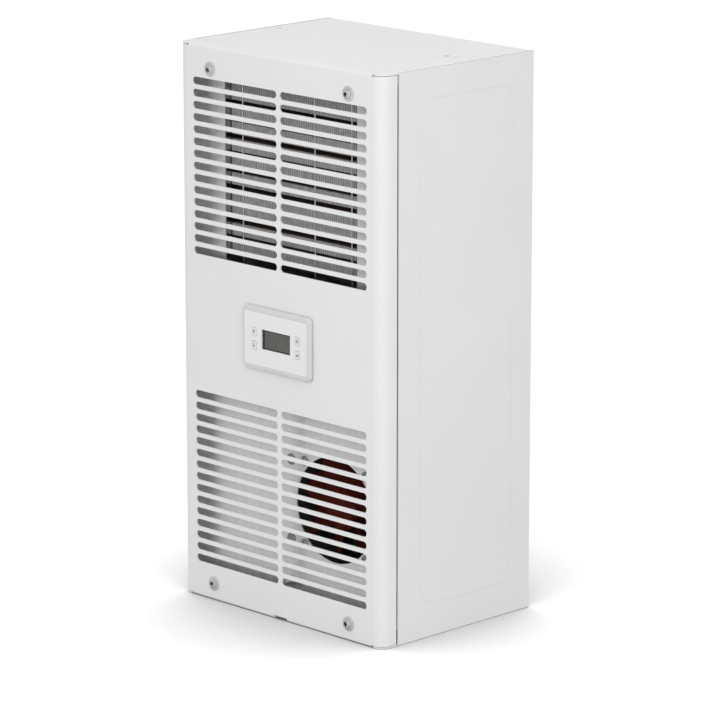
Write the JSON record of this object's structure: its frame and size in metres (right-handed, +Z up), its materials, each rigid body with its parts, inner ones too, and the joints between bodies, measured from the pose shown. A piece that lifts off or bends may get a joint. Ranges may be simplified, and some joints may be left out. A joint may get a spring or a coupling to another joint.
{
  "type": "enclosure cooling unit",
  "caption": "Slim side-mounted enclosure cooling unit with a louvred cover, control panel, condenser, evaporator, axial fans and a hermetic compressor in a sheet steel housing.",
  "frame": {"origin": "middle of the base, on the floor plane, at half the width and half the overall depth", "axes": "+Z up, the louvred front faces -Y, +X to the right seen from the front"},
  "size_m": [0.278, 0.2134, 0.5509],
  "materials": {
    "cover_paint": "fine satin powder coat",
    "housing_paint": "fine satin powder coat",
    "galvanised_sheet": "bright zinc sheet",
    "zinc_steel": "dull zinc",
    "yellow_zinc": "yellow passivated zinc",
    "seal_foam": "closed cell foam",
    "bezel_plastic": "fine moulded grain",
    "key_plastic": "fine moulded grain",
    "display_face": "unlit liquid crystal window",
    "mat_rubber": "silicone",
    "board_laminate": "solder mask",
    "fin_aluminium": "mill",
    "copper_tube": "drawn copper",
    "bright_wire": "bright plated",
    "fan_black": "satin black",
    "impeller_brown": "moulded",
    "impeller_grey": "moulded",
    "hose_plastic": "soft vinyl",
    "spout_plastic": "moulded",
    "compressor_paint": "gloss black enamel",
    "grommet_rubber": "moulded",
    "capacitor_can": "drawn can",
    "connector_plastic": "moulded"
  },
  "bodies": {
    "housing": {"front_cover": "cover_paint", "cover_screws": "zinc_steel", "cover_washers": "zinc_steel", "cover_standoffs": "zinc_steel", "left_side_panel": "housing_paint", "right_side_panel": "housing_paint", "top_panel": "housing_paint", "base_panel": "galvanised_sheet", "rear_panel": "galvanised_sheet", "rear_panel_screws": "zinc_steel", "rear_seal": "seal_foam", "mounting_nuts": "yellow_zinc", "lifting_inserts": "zinc_steel", "baffle_plate": "galvanised_sheet", "baffle_plugs": "mat_rubber", "air_partition": "galvanised_sheet", "controller_bezel": "bezel_plastic", "display_window": "display_face", "keypad_mat": "mat_rubber", "controller_board": "board_laminate", "controller_case": "bezel_plastic", "condenser_fins": "fin_aluminium", "condenser_tubes": "copper_tube", "condenser_end_plates": "galvanised_sheet", "condenser_guard_wires": "bright_wire", "condenser_fan_ring": "fan_black", "condenser_fan_motor": "fan_black", "condenser_fan_screws": "zinc_steel", "evaporator_fins": "fin_aluminium", "evaporator_tubes": "copper_tube", "evaporator_end_plates": "galvanised_sheet", "evaporator_fan_ring": "fan_black", "evaporator_fan_motor": "fan_black", "evaporator_fan_guard": "bright_wire", "evaporator_fan_screws": "zinc_steel", "drip_tray": "galvanised_sheet", "drain_hose": "hose_plastic", "drain_spout": "spout_plastic", "compressor_shell": "compressor_paint", "compressor_foot_plate": "compressor_paint", "compressor_grommets": "grommet_rubber", "compressor_bolts": "zinc_steel", "compressor_terminal_cover": "spout_plastic", "discharge_line": "copper_tube", "suction_line": "copper_tube", "liquid_line": "copper_tube", "filter_drier": "copper_tube", "capillary_tube": "copper_tube", "run_capacitor": "capacitor_can", "capacitor_clamp": "galvanised_sheet", "power_connector": "connector_plastic", "earth_terminal": "zinc_steel"},
    "key_up": {"key_up": "key_plastic"},
    "key_down": {"key_down": "key_plastic"},
    "key_menu": {"key_menu": "key_plastic"},
    "key_enter": {"key_enter": "key_plastic"},
    "condenser_impeller": {"condenser_fan_impeller": "impeller_brown"},
    "evaporator_impeller": {"evaporator_fan_impeller": "impeller_grey"}
  },
  "joints": [
    {"name": "condenser_fan_spin", "type": "hinge", "parent": "housing", "child": "condenser_impeller", "pos_m": [0.06, -0.06855, 0.1185], "axis": [0, 1, 0], "continuous": true},
    {"name": "evaporator_fan_spin", "type": "hinge", "parent": "housing", "child": "evaporator_impeller", "pos_m": [0, 0.08425, 0.45], "axis": [0, 1, 0], "continuous": true},
    {"name": "key_up_press", "type": "slide", "parent": "housing", "child": "key_up", "axis": [0, 1, 0], "range_m": [0, 0.0004], "stiffness_N_per_m": 600},
    {"name": "key_down_press", "type": "slide", "parent": "housing", "child": "key_down", "axis": [0, 1, 0], "range_m": [0, 0.0004], "stiffness_N_per_m": 600},
    {"name": "key_menu_press", "type": "slide", "parent": "housing", "child": "key_menu", "axis": [0, 1, 0], "range_m": [0, 0.0004], "stiffness_N_per_m": 600},
    {"name": "key_enter_press", "type": "slide", "parent": "housing", "child": "key_enter", "axis": [0, 1, 0], "range_m": [0, 0.0004], "stiffness_N_per_m": 600}
  ]
}
